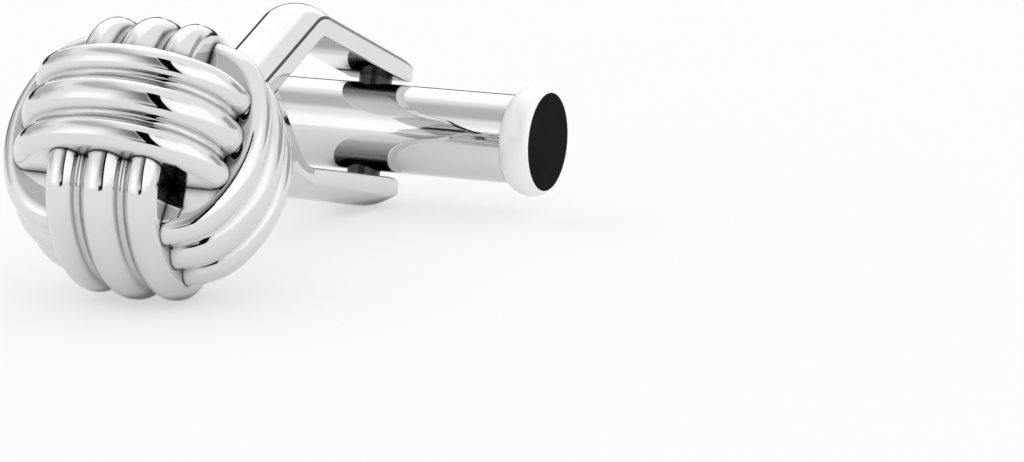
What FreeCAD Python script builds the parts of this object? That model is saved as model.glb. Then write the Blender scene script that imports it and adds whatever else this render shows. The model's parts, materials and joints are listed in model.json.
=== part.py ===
import FreeCAD, Part
import math
import os

from FreeCAD import Placement, Rotation, Vector

# Knot cufflink: a ball of six ribbed strands on a forked link, with a toggle bar that
# swings on the hinge pin between the fork's two arms.
# It is built in the link's own frame: X along the closed toggle bar, Y from the knot to the
# toggle, Z along the hinge pin, origin in the middle of the hinge.  At the end it is laid on
# a table, resting on the knot and on the tip of the lower arm, with the origin on the table
# under the middle of the whole piece.  All lengths are in millimetres.

# Toggle bar
toggle_length = 18.74
barrel_diameter = 4.24
barrel_wall = 0.6
collar_length = 1.59
collar_rise = 0.505
collar_bead_share = 0.55
collar_lip = 0.07
spigot_length = 1.4
inlay_rise = 0.205
inlay_thickness = 0.5

# Hinge pin and the hairpin spring that clicks on its flats
pin_bore_share = 0.526
pin_flats_share = 0.875
flat_margin = 0.15
leaf_thickness = 0.25
leaf_margin = 0.2
leaf_overhang = 1.3

# Fork of two half-round strips
barrel_side_gap = 0.225
arm_splay_deg = 4.4
fold_overlap = 0.23
leg_slope_deg = 38.3
strip_width = 2.94
strip_side = 0.92
strip_crown = 0.58
tip_reach = 1.35
tip_nose_share = 0.93
tip_corner_radius = 0.4
bend_radius = 0.7
post_length = 8.65
post_insertion = 2.6

# Knot
knot_diameter = 12.26
post_offset_share = 0.153
knot_turn_deg = 7.0
knot_nod_deg = 23.1
strand_width_share = 0.4135
strand_flattening_share = 0.0375
shoulder_start_deg = 31.5
shoulder_sink_share = 0.0285
groove_spacing_share = 0.396
groove_depth_share = 0.118
groove_radius_share = 0.0434
outer_rib_drop_share = 0.0276
section_core_share = 0.8
section_tip_share = 0.05

# Fits
seat_clearance = 0.01
running_clearance = 0.03

# Search for the angle at which it lies on a table
steepest_lie_deg = 60
lie_steps = 40
contact_tolerance = 0.01

ORIGIN = Vector(0, 0, 0)
X_AXIS = Vector(1, 0, 0)
Y_AXIS = Vector(0, 1, 0)
Z_AXIS = Vector(0, 0, 1)

barrel_radius = barrel_diameter / 2
bore_radius = barrel_radius - barrel_wall
barrel_half = toggle_length / 2 - collar_length
collar_radius = barrel_radius + collar_rise
inlay_radius = barrel_radius + inlay_rise
pin_radius = bore_radius * pin_bore_share

# The barrel turns between the arms, and its half length folds in between them.
fork_gap = barrel_diameter + 2 * barrel_side_gap
arm_reach = toggle_length / 2 - fold_overlap

knot_radius = knot_diameter / 2
post_offset = knot_diameter * post_offset_share
strand_width = knot_diameter * strand_width_share
strand_half = strand_width / 2
strand_flattening = knot_diameter * strand_flattening_share
shoulder_sink = knot_diameter * shoulder_sink_share
groove_spacing = strand_width * groove_spacing_share
groove_depth = strand_width * groove_depth_share
groove_radius = strand_width * groove_radius_share
outer_rib_drop = strand_width * outer_rib_drop_share


def travel(angle_deg):
    """Direction along a strip that leaves the hinge toward the knot, turned about X."""
    return Rotation(X_AXIS, angle_deg).multVec(-Y_AXIS)


def outward(angle_deg):
    return Rotation(X_AXIS, angle_deg).multVec(Z_AXIS)


# The upper strip bends down into a post, and the knot sits on the post's end.
leg_direction = travel(leg_slope_deg)
bend_corner = Vector(0, -arm_reach, fork_gap / 2 + arm_reach * math.tan(math.radians(arm_splay_deg)))
knot_along = post_length + math.sqrt(knot_radius ** 2 - post_offset ** 2)
knot_centre = bend_corner + leg_direction * knot_along + outward(leg_slope_deg) * post_offset


def outline_face(edges):
    """Close a list of edges into a flat face."""
    return Part.Face(Part.Wire(Part.__sortEdges__(edges)))


def line(start, end):
    return Part.LineSegment(start, end).toShape()


def arc(start, middle, end):
    return Part.Arc(start, middle, end).toShape()


def rod(radius, start, axis, length):
    return Part.makeCylinder(radius, length, start, axis)


# Knot strands

def strand_section(bottom):
    """Cross-section of a strand: three round ribs with two filleted grooves, flat walls.

    X is height, zero at the middle rib's crown, and Y runs across.  The section reaches
    down to the height given as bottom.
    """
    groove_at = groove_spacing / 2
    groove_rise = groove_depth - groove_radius
    groove_centre = Vector(-groove_rise, groove_at, 0)

    middle_radius = (groove_at ** 2 + groove_rise ** 2 - groove_radius ** 2) / (2 * groove_depth)
    middle_centre = Vector(-middle_radius, 0, 0)

    # The outer rib touches the groove's round on one side and the strand's wall on the other.
    span = strand_half - groove_at
    step = outer_rib_drop - groove_rise
    reach = span - step + groove_radius
    outer_radius = reach - math.sqrt(reach ** 2 - span ** 2 - step ** 2 + groove_radius ** 2)
    outer_centre = Vector(-outer_rib_drop - outer_radius, strand_half - outer_radius, 0)

    def touch(centre, radius):
        toward = (groove_centre - centre).normalize()
        return centre + toward * radius

    inner_touch = touch(middle_centre, middle_radius)
    outer_touch = touch(outer_centre, outer_radius)
    crown = Vector(-outer_rib_drop, outer_centre.y, 0)
    wall_top = Vector(outer_centre.x, strand_half, 0)
    groove_bottom = Vector(-groove_depth, groove_at, 0)

    def other_side(point):
        return Vector(point.x, -point.y, 0)

    edges = [arc(other_side(inner_touch), ORIGIN, inner_touch)]
    for side in (lambda point: point, other_side):
        edges.append(arc(side(inner_touch), side(groove_bottom), side(outer_touch)))
        edges.append(arc(side(outer_touch), side(crown), side(wall_top)))
        edges.append(line(side(wall_top), side(Vector(bottom, strand_half, 0))))
    edges.append(line(Vector(bottom, strand_half, 0), Vector(bottom, -strand_half, 0)))
    return outline_face(edges)


def strand():
    """One strand of the knot, arched over +X, running along Z, with its flat base on the core."""
    bow_radius = knot_radius + strand_flattening
    bow_axis = Vector(-strand_flattening, 0, 0)
    start = math.radians(shoulder_start_deg)
    axis_offset = (strand_half - shoulder_sink + strand_flattening) / math.cos(start)
    shoulder_radius = bow_radius - axis_offset
    shoulder_axis = bow_axis + Vector(math.cos(start), 0, math.sin(start)) * axis_offset

    bow_inner = (strand_half + strand_flattening) * section_core_share
    bow = strand_section(bow_inner - bow_radius)
    bow.translate(Vector(knot_radius, 0, 0))
    bow.rotate(bow_axis, Y_AXIS, shoulder_start_deg)
    middle = bow.revolve(bow_axis, Y_AXIS, -2 * shoulder_start_deg)

    tip = strand_section(-shoulder_radius * (1 - section_tip_share))
    tip.translate(Vector(knot_radius, 0, 0))
    tip.rotate(bow_axis, Y_AXIS, -shoulder_start_deg)
    shoulder = tip.revolve(shoulder_axis, Y_AXIS, shoulder_start_deg - 90)
    other_shoulder = shoulder.mirror(ORIGIN, Z_AXIS)

    arch = middle.fuse([shoulder, other_shoulder])
    below = Part.makeBox(knot_diameter, knot_diameter, knot_diameter)
    below.translate(Vector(strand_half - knot_diameter, -knot_radius, -knot_radius))
    return arch.cut(below).removeSplitter()


def knot_pieces():
    """The core block and the six strands round it, placed and turned in the link's frame."""
    upright = Rotation(-Y_AXIS, -Z_AXIS, X_AXIS, "XYZ")
    turned = Rotation(Z_AXIS, knot_turn_deg).multiply(Rotation(X_AXIS, -knot_nod_deg))
    in_link = Placement(knot_centre, turned.multiply(upright))

    core = Part.makeBox(strand_width, strand_width, strand_width)
    core.translate(Vector(-strand_half, -strand_half, -strand_half))
    pieces = {"knot_core": core}

    pattern = strand()
    space_diagonal = Vector(1, 1, 1)
    facing = [("front_strand", "back_strand"), ("bottom_strand", "top_strand"),
              ("right_strand", "left_strand")]
    for third, names in enumerate(facing):
        for half, name in enumerate(names):
            piece = pattern.copy()
            piece.rotate(ORIGIN, Y_AXIS, 180 * half)
            piece.rotate(ORIGIN, space_diagonal, 120 * third)
            pieces[name] = piece

    for piece in pieces.values():
        piece.Placement = in_link.multiply(piece.Placement)
    return pieces


# Fork

def strip_section():
    """Half-round strip: flat inner face on Z zero, square sides, crowned outer face."""
    half = strip_width / 2
    corners = [Vector(-half, 0, strip_side), Vector(-half, 0, 0),
               Vector(half, 0, 0), Vector(half, 0, strip_side)]
    edges = [line(a, b) for a, b in zip(corners, corners[1:])]
    edges.append(arc(corners[-1], Vector(0, 0, strip_side + strip_crown), corners[0]))
    return outline_face(edges)


def arm_room():
    """Room an arm may fill: Y runs past the hinge, Z out from the inner face.

    The tip has a round nose on the outside and round corners in plan.
    """
    length = arm_reach + strip_width
    height = strip_side + strip_crown
    block = Part.makeBox(strip_width, length, height)
    block.translate(Vector(-strip_width / 2, tip_reach - length, 0))
    tip_edges = [edge for edge in block.Edges if edge.BoundBox.YMin > 0]
    nose = [edge for edge in tip_edges if edge.BoundBox.ZMin > height / 2]
    corners = [edge for edge in tip_edges if edge.BoundBox.ZLength > height / 2]
    nosed = block.makeFillet(height * tip_nose_share, nose)
    return nosed.common(block.makeFillet(tip_corner_radius, corners))


def bent_strip(leg_length):
    """A strip from its tip past the hinge to the bend, round it, and down a leg of the given length.

    The length is measured from the corner where the arm's and the leg's inner faces meet.
    """
    turn = arm_splay_deg + leg_slope_deg
    tangent_length = bend_radius * math.tan(math.radians(turn / 2))
    arm_direction = travel(-arm_splay_deg)
    arm_length = arm_reach / math.cos(math.radians(arm_splay_deg)) + tip_reach

    def section_at(point, angle_deg):
        face = strip_section()
        face.Placement = Placement(point, Rotation(X_AXIS, angle_deg))
        return face

    bend_start = bend_corner - arm_direction * tangent_length
    bend_axis = bend_start - outward(-arm_splay_deg) * bend_radius
    bend_end = bend_corner + leg_direction * tangent_length

    arm = section_at(bend_start, -arm_splay_deg).extrude(-arm_direction * arm_length)
    room = arm_room()
    room.Placement = Placement(Vector(0, 0, fork_gap / 2), Rotation(X_AXIS, -arm_splay_deg))
    bend = section_at(bend_start, -arm_splay_deg).revolve(bend_axis, X_AXIS, turn)
    leg = section_at(bend_end, leg_slope_deg).extrude(leg_direction * (leg_length - tangent_length))
    return arm.common(room).fuse([bend, leg]).removeSplitter()


def fork_blanks(knot):
    """Both strips before the hinge holes, the upper one fitted to the knot it is brazed to."""
    strip = bent_strip(post_length + post_insertion)
    # Crumbs of the post that the strands cut off inside the knot fall away.
    upper = max(strip.cut(knot).Solids, key=lambda solid: solid.Volume)
    # The lower strip butts against the upper strip's inner face where the legs meet.
    reach = toggle_length + post_length
    beyond = Part.makeBox(reach, 2 * reach, reach)
    beyond.translate(Vector(-reach / 2, -reach, 0))
    beyond.Placement = Placement(bend_corner, Rotation(X_AXIS, leg_slope_deg)).multiply(beyond.Placement)
    return upper, strip.mirror(ORIGIN, Z_AXIS).cut(beyond)


def hinge_pin(upper, lower):
    """Pin fixed in both arms, polished flush with them, with four flats inside the barrel."""
    reach = fork_gap + strip_width
    full = rod(pin_radius, Vector(0, 0, -reach), Z_AXIS, 2 * reach)
    lean = pin_radius * math.tan(math.radians(arm_splay_deg))
    between = rod(pin_radius, Vector(0, 0, -fork_gap / 2 - lean), Z_AXIS, fork_gap + 2 * lean)
    pin = between.fuse([full.common(upper), full.common(lower)]).removeSplitter()

    flat_half = bore_radius - flat_margin
    across = 2 * pin_radius * pin_flats_share
    waste = rod(2 * pin_radius, Vector(0, 0, -flat_half), Z_AXIS, 2 * flat_half)
    square = Part.makeBox(across, across, 2 * flat_half)
    square.translate(Vector(-across / 2, -across / 2, -flat_half))
    return pin.cut(waste.cut(square))


# Toggle bar

def toggle_barrel():
    """Tube along X with a cross hole that runs on the hinge pin."""
    start = Vector(-barrel_half, 0, 0)
    tube = rod(barrel_radius, start, X_AXIS, 2 * barrel_half)
    bore = rod(bore_radius, start, X_AXIS, 2 * barrel_half)
    cross = rod(pin_radius + running_clearance, Vector(0, 0, -barrel_diameter), Z_AXIS, 2 * barrel_diameter)
    return tube.cut(bore).cut(cross)


def end_collar():
    """Bead-shaped collar for the +X end, with a spigot in the bore and a seat for the disc."""
    face_at = toggle_length / 2
    seat_radius = inlay_radius + seat_clearance
    lip_radius = seat_radius + collar_lip
    bead_at = barrel_half + collar_length * collar_bead_share
    spigot_radius = bore_radius - seat_clearance
    spigot_at = barrel_half - spigot_length
    seat_at = face_at - inlay_thickness

    points = [Vector(face_at, 0, lip_radius), Vector(face_at, 0, seat_radius),
              Vector(seat_at, 0, seat_radius), Vector(seat_at, 0, 0), Vector(spigot_at, 0, 0),
              Vector(spigot_at, 0, spigot_radius), Vector(barrel_half, 0, spigot_radius),
              Vector(barrel_half, 0, barrel_radius)]
    edges = [line(a, b) for a, b in zip(points, points[1:])]
    edges.append(arc(points[-1], Vector(bead_at, 0, collar_radius), points[0]))
    return outline_face(edges).revolve(ORIGIN, X_AXIS, 360)


def end_disc():
    """Round plate that fills the seat of the +X collar, flush with its lip."""
    seat_at = toggle_length / 2 - inlay_thickness
    return rod(inlay_radius, Vector(seat_at, 0, 0), X_AXIS, inlay_thickness)


def detent_spring():
    """Hairpin leaf spring in the bore: two legs astride the pin, closed end on the -X spigot."""
    leg_inner = pin_radius + running_clearance
    leg_outer = leg_inner + leaf_thickness
    leaf_half = math.sqrt((bore_radius - leaf_margin) ** 2 - leg_outer ** 2)
    closed_at = -barrel_half + spigot_length + seat_clearance + leg_outer
    leg_length = leaf_overhang - closed_at

    def hairpin(half_gap):
        legs = Part.makeBox(leg_length, 2 * half_gap, 2 * leaf_half)
        legs.translate(Vector(closed_at, -half_gap, -leaf_half))
        return legs.fuse(rod(half_gap, Vector(closed_at, 0, -leaf_half), Z_AXIS, 2 * leaf_half))

    return hairpin(leg_outer).cut(hairpin(leg_inner)).removeSplitter()


# Assembly

pieces = knot_pieces()
upper_blank, lower_blank = fork_blanks(list(pieces.values()))
hinge_hole = rod(pin_radius, Vector(0, 0, -toggle_length), Z_AXIS, 2 * toggle_length)
pieces["upper_arm"] = upper_blank.cut(hinge_hole)
pieces["lower_arm"] = lower_blank.cut(hinge_hole)
pieces["hinge_pin"] = hinge_pin(upper_blank, lower_blank)

pieces["toggle_barrel"] = toggle_barrel()
pieces["inlay_collar"] = end_collar()
pieces["inlay_disc"] = end_disc()
pieces["plain_collar"] = end_collar().mirror(ORIGIN, X_AXIS)
pieces["plain_disc"] = end_disc().mirror(ORIGIN, X_AXIS)
pieces["detent_spring"] = detent_spring()


# Laying the cufflink on a table

def surface_points(names):
    return [point for name in names for point in pieces[name].tessellate(contact_tolerance)[0]]


def lowest(points, angle_deg):
    angle = math.radians(angle_deg)
    return min(p.y * math.sin(angle) + p.z * math.cos(angle) for p in points)


def lie_angle():
    """Turn about X at which the knot and the lower arm's tip touch the table together."""
    knot = surface_points([name for name in pieces if name.endswith("_strand")])
    tip = surface_points(["lower_arm", "hinge_pin"])
    steep = -steepest_lie_deg
    flat = 0
    for step in range(lie_steps):
        middle = (steep + flat) / 2
        if lowest(knot, middle) > lowest(tip, middle):
            steep = middle
        else:
            flat = middle
    return (steep + flat) / 2


lie_deg = lie_angle()
laid = Rotation(X_AXIS, lie_deg)
corners = [laid.multVec(point) for point in surface_points(pieces)]
middle_x = (min(p.x for p in corners) + max(p.x for p in corners)) / 2
middle_y = (min(p.y for p in corners) + max(p.y for p in corners)) / 2
table = min(p.z for p in corners)
on_table = Placement(Vector(-middle_x, -middle_y, -table), laid)

os.makedirs("parts", exist_ok=True)
for name, piece in pieces.items():
    piece.Placement = on_table.multiply(piece.Placement)
    piece.exportStep("parts/" + name + ".step")
    box = piece.BoundBox
    print(name, len(piece.Solids), "solid", piece.isValid(), round(piece.Volume, 3), "mm3",
          [round(v, 3) for v in (box.XMin, box.YMin, box.ZMin, box.XMax, box.YMax, box.ZMax)])

print("lie angle", round(lie_deg, 3))
for label, point in (("hinge centre", ORIGIN), ("knot centre", knot_centre), ("bend corner", bend_corner),
                     ("inlay face", Vector(toggle_length / 2, 0, 0))):
    print(label, [round(v, 4) for v in on_table.multVec(point)])
print("hinge axis", [round(v, 6) for v in laid.multVec(Z_AXIS)])
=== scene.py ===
import json
import math

import bpy
from mathutils import Matrix, Vector


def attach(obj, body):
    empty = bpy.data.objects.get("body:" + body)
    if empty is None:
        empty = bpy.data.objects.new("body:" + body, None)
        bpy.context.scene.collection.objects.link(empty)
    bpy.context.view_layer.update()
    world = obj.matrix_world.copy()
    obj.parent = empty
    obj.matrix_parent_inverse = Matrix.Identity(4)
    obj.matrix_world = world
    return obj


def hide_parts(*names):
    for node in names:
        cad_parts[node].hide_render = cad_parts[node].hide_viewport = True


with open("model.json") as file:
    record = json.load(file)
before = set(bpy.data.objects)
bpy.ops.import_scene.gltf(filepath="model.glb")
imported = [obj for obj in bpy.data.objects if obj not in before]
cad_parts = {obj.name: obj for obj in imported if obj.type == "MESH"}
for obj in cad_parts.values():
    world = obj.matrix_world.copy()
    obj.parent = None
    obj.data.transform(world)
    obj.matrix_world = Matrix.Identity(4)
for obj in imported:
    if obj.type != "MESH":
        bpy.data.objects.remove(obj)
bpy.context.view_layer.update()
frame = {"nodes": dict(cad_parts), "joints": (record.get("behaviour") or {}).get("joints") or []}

# Knot
# Six ribbed strands of stainless steel are brazed round a small block and polished to a mirror.
# Polishing leaves soft clouds and hair-fine marks. The grooves and joints carry painted shade,
# most of all on the top and bottom strands, which other strands cross.
MM = 0.001
STEEL = (0.75, 0.75, 0.755)
MIRROR = (0.03, 0.06)
# Colour of the painted shade in grooves, joints and under near parts.
PAINTED_SHADE = (0.07, 0.07, 0.072)
GROOVE_SHADE_REACH = 0.8 * MM
GROOVE_SHADE_DARK = 0.2
GROOVE_SHADE_BRIGHT = 0.9
JOINT_SHADE_REACH = 0.15 * MM
JOINT_SHADE_DARK = 0.5
JOINT_SHADE_BRIGHT = 0.95
CLOUDS_PER_MM = 0.3
CLOUD_TINT = 0.02
MARK_STRENGTH = 0.02
MARK_DEPTH = 0.002 * MM
KNOT_GRAIN = (9.0, 9.0, 9.0)
BOTTOM_JOINT_SHADE_DARK = 0.75
TOP_JOINT_SHADE_REACH = 0.5 * MM
TOP_JOINT_SHADE_DARK = 0.7


def polished_steel(name, grain, roughness=MIRROR, bare=STEEL, shaded=GROOVE_SHADE_REACH,
                   joint=JOINT_SHADE_REACH, joint_dark=JOINT_SHADE_DARK):
    """Bare steel, mirror-polished if not rougher, with hairline marks stretched along the grain.
    It gets painted shade where something stands nearer to it than the shaded distance, and in the
    joint, nearer still, where it is less open than joint_dark."""
    steel = bpy.data.materials.new(name)
    steel.use_nodes = True
    nodes, links = steel.node_tree.nodes, steel.node_tree.links
    shader = nodes["Principled BSDF"]
    shader.inputs["Metallic"].default_value = 1.0

    place = nodes.new("ShaderNodeTexCoord")
    millimetres = nodes.new("ShaderNodeMapping")
    millimetres.inputs["Scale"].default_value = (1 / MM, 1 / MM, 1 / MM)
    links.new(place.outputs["Object"], millimetres.inputs["Vector"])

    clouds = nodes.new("ShaderNodeTexNoise")
    clouds.inputs["Scale"].default_value = CLOUDS_PER_MM
    clouds.inputs["Detail"].default_value = 3.0
    links.new(millimetres.outputs["Vector"], clouds.inputs["Vector"])
    tint = nodes.new("ShaderNodeValToRGB")
    darker, lighter = tint.color_ramp.elements
    darker.position = 0.3
    darker.color = (*[(1 - CLOUD_TINT) * c for c in bare], 1)
    lighter.position = 0.7
    lighter.color = (*[(1 + CLOUD_TINT) * c for c in bare], 1)
    links.new(clouds.outputs["Fac"], tint.inputs["Fac"])

    least = nodes.new("ShaderNodeMath")
    least.operation = "MINIMUM"
    # Ambient occlusion paints shade into the base colour: dark in grooves, joints and under near
    # parts.
    recesses = [(shaded, GROOVE_SHADE_DARK, GROOVE_SHADE_BRIGHT), (joint, joint_dark, JOINT_SHADE_BRIGHT)]
    for number, (reach, dark, bright) in enumerate(recesses):
        openness = nodes.new("ShaderNodeAmbientOcclusion")
        openness.samples = 8
        openness.inputs["Distance"].default_value = reach
        unshaded = nodes.new("ShaderNodeMapRange")
        unshaded.interpolation_type = "SMOOTHSTEP"
        unshaded.inputs["From Min"].default_value = dark
        unshaded.inputs["From Max"].default_value = bright
        links.new(openness.outputs["AO"], unshaded.inputs["Value"])
        links.new(unshaded.outputs["Result"], least.inputs[number])
    colour = nodes.new("ShaderNodeMix")
    colour.data_type = "RGBA"
    colour.inputs["A"].default_value = (*PAINTED_SHADE, 1)
    links.new(least.outputs["Value"], colour.inputs["Factor"])
    links.new(tint.outputs["Color"], colour.inputs["B"])
    links.new(colour.outputs["Result"], shader.inputs["Base Color"])

    along = nodes.new("ShaderNodeMapping")
    along.inputs["Scale"].default_value = grain
    links.new(millimetres.outputs["Vector"], along.inputs["Vector"])
    hairlines = nodes.new("ShaderNodeTexNoise")
    hairlines.inputs["Scale"].default_value = 1.0
    hairlines.inputs["Detail"].default_value = 5.0
    links.new(along.outputs["Vector"], hairlines.inputs["Vector"])
    haze = nodes.new("ShaderNodeMapRange")
    haze.inputs["From Min"].default_value = 0.35
    haze.inputs["From Max"].default_value = 0.75
    haze.inputs["To Min"].default_value = roughness[0]
    haze.inputs["To Max"].default_value = roughness[1]
    links.new(hairlines.outputs["Fac"], haze.inputs["Value"])
    links.new(haze.outputs["Result"], shader.inputs["Roughness"])

    marks = nodes.new("ShaderNodeBump")
    marks.inputs["Strength"].default_value = MARK_STRENGTH
    marks.inputs["Distance"].default_value = MARK_DEPTH
    links.new(hairlines.outputs["Fac"], marks.inputs["Height"])
    links.new(marks.outputs["Normal"], shader.inputs["Normal"])
    return steel


def dress(names, material):
    """Give the CAD nodes of these names one material."""
    for name in names:
        frame["nodes"][name].data.materials.clear()
        frame["nodes"][name].data.materials.append(material)


knot_steel = polished_steel("knot_steel", KNOT_GRAIN)
dress(["knot_core", "front_strand", "back_strand", "right_strand", "left_strand"], knot_steel)
# The bottom and top strands get deeper, wider painted shade in their joints.
bottom_steel = polished_steel("bottom_steel", KNOT_GRAIN, joint_dark=BOTTOM_JOINT_SHADE_DARK)
dress(["bottom_strand"], bottom_steel)
top_steel = polished_steel("top_steel", KNOT_GRAIN, joint=TOP_JOINT_SHADE_REACH, joint_dark=TOP_JOINT_SHADE_DARK)
dress(["top_strand"], top_steel)

# Fork
# Two half-round steel strips, bent cold: the upper one runs on into the knot as the post, and the
# lower one is cut to butt on it.  All is polished; the upper strip's crown edges carry a painted
# dark reflection line on the leg and a grey one on the arm, and the arms' inner faces beside the
# toggle bar carry painted shade.
STRIP_WIDTH = 2.94 * MM
STRIP_SIDE = 0.92 * MM
STRIP_CROWN = 0.58 * MM
STRIP_EDGE = 0.085 * MM
ARM_LENGTH = 10.514 * MM
ARM_SPLAY = math.radians(4.4)
LEG_SLOPE = math.radians(38.3)
LEG_LENGTH = 11.254 * MM
UPPER_BEND = 0.7 * MM
LOWER_BEND = 2.4 * MM
LOWER_LIFT = 0.009 * MM
TIP_NOSE = 1.45 * MM
TIP_CORNER = 0.5 * MM
TIP_LIFT = 0.5 * MM
CORNER = Vector((0, -9.14, 3.048)) * MM
CROWN_CUTS = 19
EDGE_STEPS = 3
TIP_STEPS = 12
BEND_STEPS = 16
FACES_INWARD = -0.95
FACES_SIDEWAYS = 0.995
STRIP_SHARP = math.radians(40)
INNER_SHADE = 2.0 * MM
STRIP_GRAIN = (30.0, 2.0, 2.0)
fork_steel = polished_steel("fork_steel", STRIP_GRAIN)
# The crown edges' dark line on the leg and grey line on the arm are painted reflections.
leg_edge_painted_dark = polished_steel("leg_edge_painted_dark", STRIP_GRAIN, roughness=(0.3, 0.4), bare=(0.12, 0.12, 0.122))
arm_edge_painted_grey = polished_steel("arm_edge_painted_grey", STRIP_GRAIN, roughness=(0.25, 0.35),
                             bare=(0.32, 0.32, 0.325))
# The arms' inner faces beside the toggle bar get painted shade out to INNER_SHADE.
shaded_inner_face = polished_steel("shaded_inner_face", STRIP_GRAIN, shaded=INNER_SHADE)

# The fork's own frame: its origin is the hinge's middle, Z is the pin and Y points out past it.
swing = frame["joints"][0]
pin_line = Vector(swing["axis"])
across = Vector((1, 0, 0))
fork_frame = Matrix((across, pin_line.cross(across), pin_line)).transposed().to_4x4()
fork_frame.translation = Vector(swing["pos_m"])


def pick(piece, wanted):
    """Select the vertices of a piece, open in edit mode, that a test on their place accepts."""
    bpy.ops.mesh.select_mode(type="VERT")
    bpy.ops.mesh.select_all(action="DESELECT")
    bpy.ops.object.mode_set(mode="OBJECT")
    for vertex in piece.data.vertices:
        vertex.select = wanted(vertex.co)
    bpy.ops.object.mode_set(mode="EDIT")


def bent_strip(name, bend_radius, leg_edge, arm_edge):
    """Strip in the fork's frame: the arm runs out along Y to its tip, and the leg down from the
    bend.  It is drawn with the bend at the origin and moved to the fork's corner at the end."""
    down = ARM_SPLAY + LEG_SLOPE
    tangent = bend_radius * math.tan(down / 2)
    bpy.ops.object.select_all(action="DESELECT")
    bpy.ops.mesh.primitive_plane_add(size=1.0)
    strip = bpy.context.object
    strip.name = name
    half = STRIP_WIDTH / 2
    for vertex in strip.data.vertices:
        vertex.co = (math.copysign(half, vertex.co.x), 0, STRIP_SIDE if vertex.co.y > 0 else 0)
    near = STRIP_EDGE / 10
    bpy.ops.object.mode_set(mode="EDIT")
    pick(strip, lambda co: co.z > near)
    bpy.ops.mesh.subdivide(number_cuts=CROWN_CUTS)
    bpy.ops.object.mode_set(mode="OBJECT")
    crown_radius = (half ** 2 + STRIP_CROWN ** 2) / (2 * STRIP_CROWN)
    crown_angle = math.asin(half / crown_radius)
    for vertex in strip.data.vertices:
        if vertex.co.z > near:
            angle = crown_angle * vertex.co.x / half
            vertex.co.x = crown_radius * math.sin(angle)
            vertex.co.z = STRIP_SIDE + STRIP_CROWN - crown_radius * (1 - math.cos(angle))
    bpy.ops.object.mode_set(mode="EDIT")
    pick(strip, lambda co: abs(co.x) > half - near)
    bpy.ops.mesh.bevel(offset=STRIP_EDGE, segments=EDGE_STEPS, affect="VERTICES")
    strip.vertex_groups.new(name="crown edges")
    edge_band = 1.1 * STRIP_EDGE
    pick(strip, lambda co: abs(co.x) > half - edge_band and co.z > STRIP_SIDE / 2)
    bpy.ops.object.vertex_group_assign()

    bpy.ops.mesh.select_all(action="SELECT")
    arm = (0, ARM_LENGTH - tangent - TIP_NOSE, 0)
    bpy.ops.mesh.extrude_region_move(TRANSFORM_OT_translate={"value": arm})
    height = STRIP_SIDE + STRIP_CROWN
    reach, wide, tall = 0.0, 1.0, 1.0
    for step in range(1, TIP_STEPS + 1):
        angle = math.radians(90 * step / TIP_STEPS)
        reach_now = TIP_NOSE * math.sin(angle)
        tall_now = 1 - TIP_NOSE / height * (1 - math.cos(angle))
        into_corner = max(0, 1 - (TIP_NOSE - reach_now) / TIP_CORNER)
        wide_now = 1 - TIP_CORNER / half * (1 - math.sqrt(1 - into_corner ** 2))
        onward = (0, reach_now - reach, 0)
        bpy.ops.mesh.extrude_region_move(TRANSFORM_OT_translate={"value": onward})
        bpy.ops.transform.resize(value=(wide_now / wide, 1, tall_now / tall),
                                 center_override=(0, 0, TIP_LIFT))
        reach, wide, tall = reach_now, wide_now, tall_now

    pick(strip, lambda co: abs(co.y) < near)
    bpy.ops.mesh.spin(steps=BEND_STEPS, angle=down, center=(0, 0, -bend_radius), axis=(-1, 0, 0))
    leg = Vector((0, -math.cos(down), -math.sin(down))) * (LEG_LENGTH - tangent)
    bpy.ops.mesh.extrude_region_move(TRANSFORM_OT_translate={"value": leg})
    bpy.ops.mesh.edge_face_add()
    bpy.ops.mesh.select_all(action="SELECT")
    bpy.ops.mesh.normals_make_consistent(inside=False)
    bpy.ops.object.mode_set(mode="OBJECT")
    finishes = [fork_steel, shaded_inner_face, leg_edge, arm_edge]
    for finish in finishes:
        strip.data.materials.append(finish)
    on_edge = [len(vertex.groups) > 0 for vertex in strip.data.vertices]
    for face in strip.data.polygons:
        if face.normal.z < FACES_INWARD:
            face.material_index = finishes.index(shaded_inner_face)
        elif abs(face.normal.x) < FACES_SIDEWAYS and all(on_edge[index] for index in face.vertices):
            face.material_index = finishes.index(leg_edge if face.center.y < near else arm_edge)
    strip.vertex_groups.clear()

    arm_way = Vector((0, math.cos(ARM_SPLAY), -math.sin(ARM_SPLAY)))
    to_corner = Matrix.Translation(CORNER + arm_way * tangent)
    strip.data.transform(to_corner @ Matrix.Rotation(-ARM_SPLAY, 4, "X"))
    return strip


def finish_strip(strip, node):
    """Put a strip in place, keep its flat faces flat in the shading, hide the CAD node it stands for
    and hang it on the link.
    """
    bpy.ops.object.shade_smooth_by_angle(angle=STRIP_SHARP)
    weighted = strip.modifiers.new("flat faces stay flat", "WEIGHTED_NORMAL")
    weighted.keep_sharp = True
    bpy.ops.object.modifier_apply(modifier=weighted.name)
    strip.data.transform(fork_frame)
    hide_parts(node)
    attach(strip, "link")


finish_strip(bent_strip("upper_strip", UPPER_BEND, leg_edge_painted_dark, arm_edge_painted_grey), "upper_arm")

lower_strip = bent_strip("lower_strip", LOWER_BEND, fork_steel, fork_steel)
upside_down = Matrix.Diagonal((1, 1, -1, 1))
lower_strip.data.transform(Matrix.Translation((0, 0, LOWER_LIFT)) @ upside_down)
bpy.ops.object.mode_set(mode="EDIT")
bpy.ops.mesh.select_all(action="SELECT")
bpy.ops.mesh.normals_make_consistent(inside=False)
bpy.ops.mesh.bisect(plane_co=CORNER, plane_no=(0, -math.sin(LEG_SLOPE), math.cos(LEG_SLOPE)),
                    use_fill=True, clear_outer=True)
bpy.ops.object.mode_set(mode="OBJECT")
finish_strip(lower_strip, "lower_arm")
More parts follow.
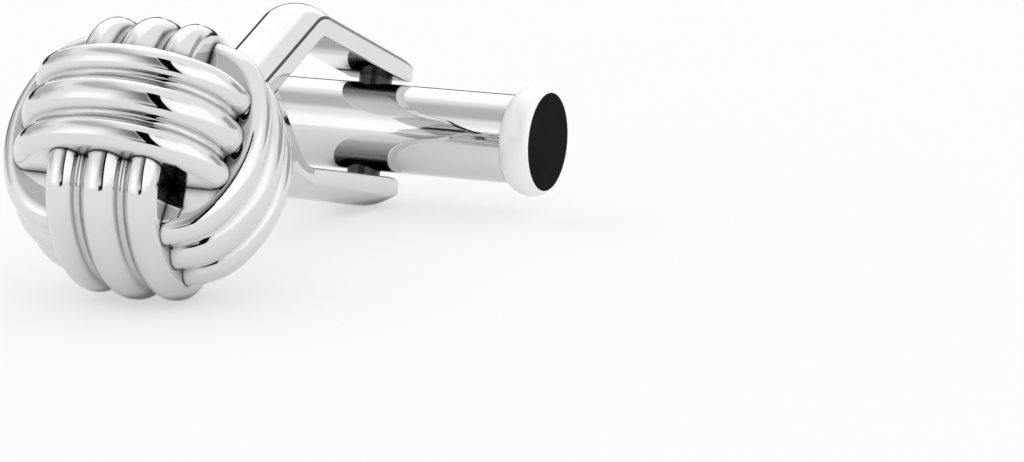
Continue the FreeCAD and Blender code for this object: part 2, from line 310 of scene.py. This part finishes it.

# Hinge pin
# A turned steel pin, painted near black for the shade in the gap under the upper arm, with four
# flats milled round its middle for the spring.  It is pressed through both strips, and its ends are
# ground and polished away into their crowns.
PIN_RADIUS = 0.8 * MM
PIN_LENGTH = 6.4 * MM
PIN_CHAMFER = 0.1 * MM
PIN_SIDES = 64
PIN_SHARP = math.radians(20)
FLATS_LENGTH = 2.74 * MM
FLATS_ACROSS = 1.4 * MM
FLATS_RUNOUT = 0.04 * MM
# Near-black base colour: painted shade for the gap between the arm and the toggle bar.
pin_painted_shade = polished_steel("pin_painted_shade", grain=(12.0, 12.0, 12.0), roughness=(0.2, 0.3),
                           bare=(0.03, 0.03, 0.031))
bpy.ops.object.select_all(action="DESELECT")
bpy.ops.mesh.primitive_cylinder_add(vertices=PIN_SIDES, radius=PIN_RADIUS, depth=PIN_LENGTH)
pin = bpy.context.object
pin.name = "pressed_pin"
bpy.ops.object.mode_set(mode="EDIT")
for height in (FLATS_LENGTH / 2, FLATS_LENGTH / 2 - FLATS_RUNOUT):
    for side in (-1, 1):
        bpy.ops.mesh.select_all(action="SELECT")
        bpy.ops.mesh.bisect(plane_co=(0, 0, side * height), plane_no=(0, 0, 1))
pick(pin, lambda co: abs(co.z) > PIN_LENGTH / 2 - FLATS_RUNOUT)
bpy.ops.mesh.bevel(offset=PIN_CHAMFER, segments=2, affect="EDGES")
bpy.ops.object.mode_set(mode="OBJECT")
for vertex in pin.data.vertices:
    if abs(vertex.co.z) < (FLATS_LENGTH - FLATS_RUNOUT) / 2:
        vertex.co.x = max(-FLATS_ACROSS / 2, min(FLATS_ACROSS / 2, vertex.co.x))
        vertex.co.y = max(-FLATS_ACROSS / 2, min(FLATS_ACROSS / 2, vertex.co.y))
bpy.ops.object.shade_smooth_by_angle(angle=PIN_SHARP)
pin.data.transform(fork_frame)
pin.data.materials.append(pin_painted_shade)
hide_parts("hinge_pin")
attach(pin, "link")

# Toggle bar
# A steel tube that swings on the pin, with a bead-shaped collar pressed into each end.  The collars
# are satin, and hold flush discs; a bare hairpin spring inside the tube clicks on the pin's flats.
SATIN_METAL = 0.55
toggle_steel = polished_steel("toggle_steel", grain=(2.0, 30.0, 30.0))
dress(["toggle_barrel", "plain_disc"], toggle_steel)
satin_steel = polished_steel("satin_steel", grain=(20.0, 60.0, 60.0), roughness=(0.44, 0.52),
                             bare=(0.94, 0.94, 0.94))
satin_steel.node_tree.nodes["Principled BSDF"].inputs["Metallic"].default_value = SATIN_METAL
dress(["inlay_collar", "plain_collar"], satin_steel)
spring_steel = polished_steel("spring_steel", grain=(1.0, 12.0, 12.0), roughness=(0.1, 0.2))
dress(["detent_spring"], spring_steel)

# Inlay
# The disc in the visible collar is black resin, cast in the seat, ground flush and polished.
# It is bare, with only faint polishing swirls in its gloss.
RESIN_DEEP = (0.002, 0.002, 0.0025)
RESIN_PALE = (0.007, 0.007, 0.008)
SWIRLS_PER_MM = 1.2
black_inlay = bpy.data.materials.new("black_inlay")
black_inlay.use_nodes = True
nodes, links = black_inlay.node_tree.nodes, black_inlay.node_tree.links
shader = nodes["Principled BSDF"]
shader.inputs["Specular IOR Level"].default_value = 0.008
place = nodes.new("ShaderNodeTexCoord")
swirls = nodes.new("ShaderNodeTexNoise")
swirls.inputs["Scale"].default_value = SWIRLS_PER_MM / MM
swirls.inputs["Detail"].default_value = 4.0
links.new(place.outputs["Object"], swirls.inputs["Vector"])
depth = nodes.new("ShaderNodeValToRGB")
depth.color_ramp.elements[0].color = (*RESIN_DEEP, 1)
depth.color_ramp.elements[1].color = (*RESIN_PALE, 1)
links.new(swirls.outputs["Fac"], depth.inputs["Fac"])
links.new(depth.outputs["Color"], shader.inputs["Base Color"])
gloss = nodes.new("ShaderNodeMapRange")
gloss.inputs["To Min"].default_value = 0.05
gloss.inputs["To Max"].default_value = 0.14
links.new(swirls.outputs["Fac"], gloss.inputs["Value"])
links.new(gloss.outputs["Result"], shader.inputs["Roughness"])
dress(["inlay_disc"], black_inlay)

# Floor
# A large sheet of white, matt acrylic that the cufflink lies on.  It glows a little from below, so
# that the sheet is white to the eye and in the polished metal, and the shadow on it stays faint.
FLOOR_SIZE = 4.0
FLOOR_WHITE = (0.95, 0.95, 0.95)
GLOW_TO_EYE = 0.6
GLOW_IN_METAL = 0.3
bpy.ops.object.select_all(action="DESELECT")
bpy.ops.mesh.primitive_plane_add(size=FLOOR_SIZE)
floor = bpy.context.object
floor.name = "floor"
sheet = bpy.data.materials.new("floor_sheet")
sheet.use_nodes = True
nodes, links = sheet.node_tree.nodes, sheet.node_tree.links
nodes.clear()
surface = nodes.new("ShaderNodeOutputMaterial")
lit = nodes.new("ShaderNodeBsdfDiffuse")
lit.inputs["Color"].default_value = (*FLOOR_WHITE, 1)
glow = nodes.new("ShaderNodeEmission")
glow.inputs["Strength"].default_value = 1.0
seen = nodes.new("ShaderNodeLightPath")
in_metal = nodes.new("ShaderNodeMath")
in_metal.operation = "MAXIMUM"
links.new(seen.outputs["Is Glossy Ray"], in_metal.inputs[0])
links.new(seen.outputs["Is Transmission Ray"], in_metal.inputs[1])
share_in_metal = nodes.new("ShaderNodeMath")
share_in_metal.operation = "MULTIPLY"
share_in_metal.inputs[1].default_value = GLOW_IN_METAL
links.new(in_metal.outputs["Value"], share_in_metal.inputs[0])
share = nodes.new("ShaderNodeMath")
share.operation = "MULTIPLY_ADD"
share.inputs[1].default_value = GLOW_TO_EYE
links.new(seen.outputs["Is Camera Ray"], share.inputs[0])
links.new(share_in_metal.outputs["Value"], share.inputs[2])
blend = nodes.new("ShaderNodeMixShader")
links.new(share.outputs["Value"], blend.inputs["Fac"])
links.new(lit.outputs["BSDF"], blend.inputs[1])
links.new(glow.outputs["Emission"], blend.inputs[2])
links.new(blend.outputs["Shader"], surface.inputs["Surface"])
floor.data.materials.append(sheet)

# Tent
# A plain white cloth tent that stands round the cufflink on all sides and overhead.
# The lamps outside light it evenly, at a level where a colour looks as it is.
scene = bpy.context.scene
scene.view_settings.view_transform = "Standard"
tent = bpy.data.worlds.new("tent")
scene.world = tent
tent.use_nodes = True
tent.node_tree.nodes["Background"].inputs["Color"].default_value = (1, 1, 1, 1)
tent.node_tree.nodes["Background"].inputs["Strength"].default_value = 1.0

# Panels
# Patches of the tent that the polished metal mirrors: brighter where a lamp stands behind the cloth,
# dim where none does, and black at the lens slit and at the low gaps under the cloth.
MIDDLE = Vector((0, -4, 6)) * MM
SLIT_ARCH = 18


def direction(azimuth, elevation):
    """Way from the cufflink at an azimuth, in degrees right of the front, and an elevation."""
    a, e = math.radians(azimuth), math.radians(elevation)
    return Vector((math.sin(a) * math.cos(e), -math.cos(a) * math.cos(e), math.sin(e)))


def panel(name, azimuths, elevations, distance, level, fades, arch=None):
    """Patch between two azimuths and two elevations, which glows at a level.  Its fades are the
    shares of its width or height that fade out at the left, right, bottom and top.
    On an arch that stands towards one azimuth, the azimuths are angles to the side of it."""
    bpy.ops.object.select_all(action="DESELECT")
    bpy.ops.mesh.primitive_grid_add(x_subdivisions=32, y_subdivisions=16, size=1.0)
    patch = bpy.context.object
    patch.name = name
    for vertex in patch.data.vertices:
        azimuth = azimuths[0] + (vertex.co.x + 0.5) * (azimuths[1] - azimuths[0])
        elevation = elevations[0] + (vertex.co.y + 0.5) * (elevations[1] - elevations[0])
        way = direction(azimuth, elevation)
        if arch is not None:
            side = math.radians(azimuth)
            upright, sideways = direction(arch, elevation), direction(arch + 90, 0)
            way = upright * math.cos(side) + sideways * math.sin(side)
        vertex.co = MIDDLE + way * distance
    cloth = bpy.data.materials.new(name)
    cloth.use_nodes = True
    nodes, links = cloth.node_tree.nodes, cloth.node_tree.links
    nodes.clear()
    surface = nodes.new("ShaderNodeOutputMaterial")
    clear = nodes.new("ShaderNodeBsdfTransparent")
    glow = nodes.new("ShaderNodeEmission")
    glow.inputs["Strength"].default_value = level
    place = nodes.new("ShaderNodeTexCoord")
    axes = nodes.new("ShaderNodeSeparateXYZ")
    links.new(place.outputs["UV"], axes.inputs["Vector"])
    left, right, bottom, top = fades
    sides = [("X", 0, left), ("X", 1, 1 - right), ("Y", 0, bottom), ("Y", 1, 1 - top)]
    mask = None
    for axis, edge, inner in sides:
        fade = nodes.new("ShaderNodeMapRange")
        fade.interpolation_type = "SMOOTHSTEP"
        fade.inputs["From Min"].default_value = edge
        fade.inputs["From Max"].default_value = inner
        links.new(axes.outputs[axis], fade.inputs["Value"])
        if mask is None:
            mask = fade.outputs["Result"]
            continue
        both = nodes.new("ShaderNodeMath")
        both.operation = "MULTIPLY"
        links.new(mask, both.inputs[0])
        links.new(fade.outputs["Result"], both.inputs[1])
        mask = both.outputs["Value"]
    blend = nodes.new("ShaderNodeMixShader")
    links.new(mask, blend.inputs["Fac"])
    links.new(clear.outputs["BSDF"], blend.inputs[1])
    links.new(glow.outputs["Emission"], blend.inputs[2])
    links.new(blend.outputs["Shader"], surface.inputs["Surface"])
    patch.data.materials.append(cloth)
    patch.visible_camera = False
    patch.visible_shadow = False
    patch.visible_diffuse = False


panel("lens_slit", (1, 11.3), (-2, 69), 0.40, 0.0, (0.08, 0.06, 0.06, 0.03), arch=SLIT_ARCH)
panel("slit_shade", (-29, 1.2), (-2, 70), 0.45, 0.2, (0.95, 0.02, 0.4, 0.2), arch=SLIT_ARCH)
panel("front_gap", (0, 21), (-0.9, 7.5), 0.42, 0.02, (0.65, 0.05, 0.05, 0.3))
panel("front_lamp", (-62, -2), (-1, 40), 0.60, 1.3, (0.4, 0.35, 0.15, 0.5))
panel("right_lamp", (31, 118), (-1, 60), 0.60, 1.3, (0.05, 0.3, 0.2, 0.3))
panel("right_seam", (49, 62), (54.5, 62.5), 0.50, 0.65, (0.25, 0.25, 0.25, 0.25))
panel("back_lamp", (-192, -118), (6, 88), 0.62, 1.3, (0.25, 0.2, 0.12, 0.3))
panel("dim_left_wall", (-140, -62), (0, 40), 0.58, 0.55, (0.35, 0.35, 0.3, 0.35))
panel("dim_roof", (-120, 12), (42, 82), 0.56, 0.58, (0.3, 0.3, 0.3, 0.5))
panel("dim_back_wall", (118, 166), (2, 28), 0.55, 0.45, (0.3, 0.3, 0.2, 0.3))
panel("side_gap", (155, 200), (2, 8.5), 0.54, 0.03, (0.3, 0.12, 0.2, 0.4))
panel("far_gap", (194, 262), (2, 16), 0.54, 0.03, (0.12, 0.2, 0.15, 0.4))

# Camera
# A long lens, about 45 mm above the sheet and to the right of the knot's front.
# It stands at the photograph's angle, with the cufflink in the frame's upper left.
LENS = 158.2
SENSOR = 36.0
AZIMUTH = 24.175
ELEVATION = 12.36
DISTANCE = 204.434 * MM
AIM = Vector((11.4556, 3.9785, 1.3551)) * MM
camera = bpy.data.objects.new("camera", bpy.data.cameras.new("camera"))
scene.collection.objects.link(camera)
camera.data.lens = LENS
camera.data.sensor_width = SENSOR
camera.data.clip_start = 0.01
camera.data.clip_end = 20.0
camera.location = AIM + direction(AZIMUTH, ELEVATION) * DISTANCE
camera.rotation_euler = (AIM - camera.location).to_track_quat("-Z", "Y").to_euler()
scene.camera = camera
